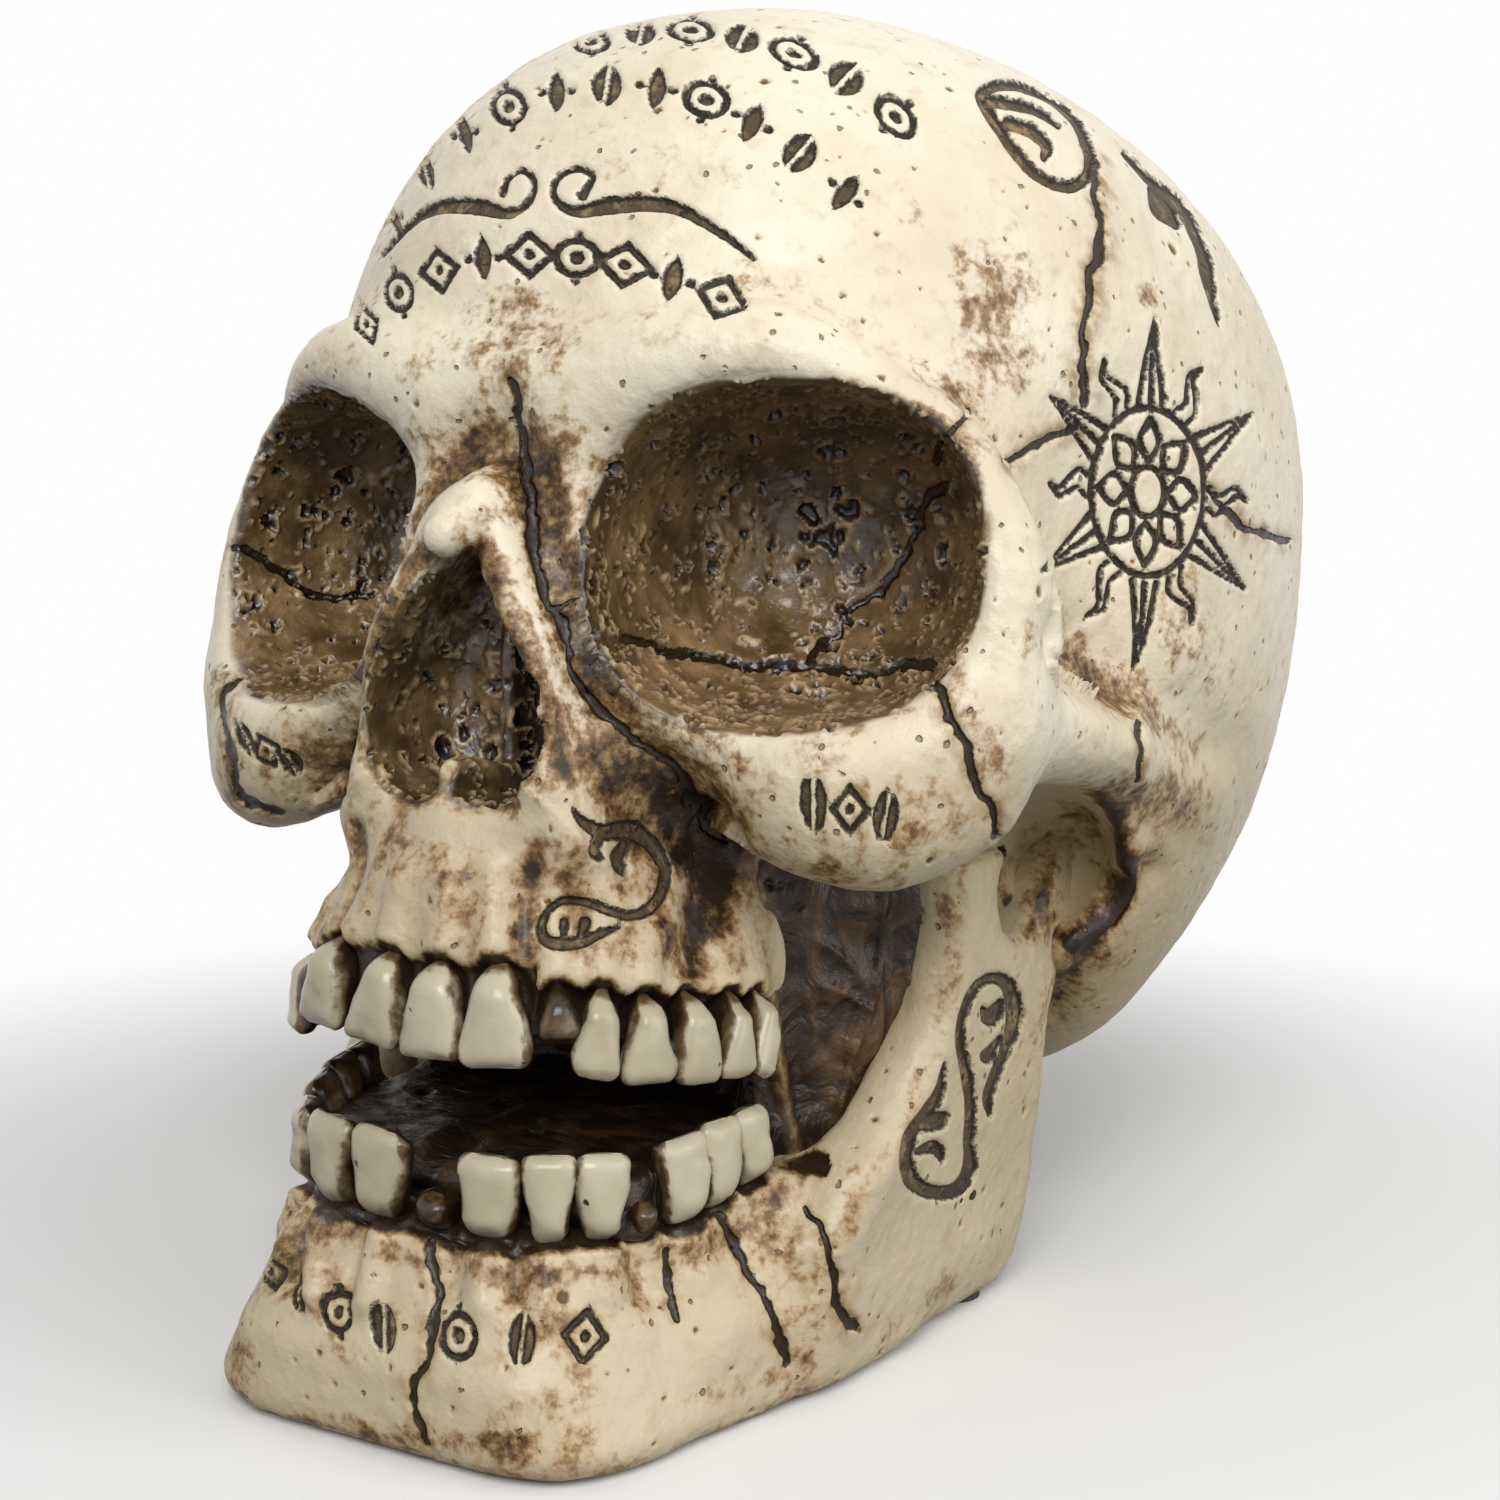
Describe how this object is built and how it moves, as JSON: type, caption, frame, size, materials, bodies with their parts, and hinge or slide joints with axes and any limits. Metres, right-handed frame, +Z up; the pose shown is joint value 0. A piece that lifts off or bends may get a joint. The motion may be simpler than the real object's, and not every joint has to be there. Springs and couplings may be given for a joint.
{
  "type": "halloween skull decoration",
  "caption": "Life-like cast skull ornament with an open, toothed mouth, hollow braincase and dark mouth lining, resting on the flat underside of its fixed lower jaw.",
  "frame": {"origin": "on the table, under the middle of the overall box", "axes": "+Z up; the face looks along -Y; +X to the skull's left"},
  "size_m": [0.1342, 0.181, 0.1743],
  "materials": {
    "bone": "ivory cast resin with a brown wash in the recesses, satin gloss",
    "lining": "very glossy dark brown, pitted",
    "tooth": "pale cream resin, glossy",
    "plug": "matt soft stopper",
    "felt": "black felt"
  },
  "bodies": {
    "root": {"cranium": "bone", "mandible": "bone", "mouth_lining": "lining", "upper_tooth_left_1": "tooth", "upper_tooth_left_2": "tooth", "upper_tooth_left_3": "tooth", "upper_tooth_left_4": "tooth", "upper_tooth_left_5": "tooth", "upper_tooth_left_6": "tooth", "upper_tooth_left_7": "tooth", "upper_tooth_left_8": "tooth", "upper_tooth_right_1": "tooth", "upper_tooth_right_2": "tooth", "upper_tooth_right_3": "tooth", "upper_tooth_right_4": "tooth", "upper_tooth_right_5": "tooth", "upper_tooth_right_6": "tooth", "upper_tooth_right_7": "tooth", "upper_tooth_right_8": "tooth", "lower_tooth_left_1": "tooth", "lower_tooth_left_2": "tooth", "lower_tooth_left_3": "tooth", "lower_tooth_left_4": "tooth", "lower_tooth_left_5": "tooth", "lower_tooth_left_6": "tooth", "lower_tooth_left_7": "tooth", "lower_tooth_left_8": "tooth", "lower_tooth_right_1": "tooth", "lower_tooth_right_2": "tooth", "lower_tooth_right_3": "tooth", "lower_tooth_right_4": "tooth", "lower_tooth_right_5": "tooth", "lower_tooth_right_6": "tooth", "lower_tooth_right_7": "tooth", "lower_tooth_right_8": "tooth", "base_plug": "plug", "felt_pad_1": "felt", "felt_pad_2": "felt", "felt_pad_3": "felt", "felt_pad_4": "felt"}
  },
  "joints": []
}
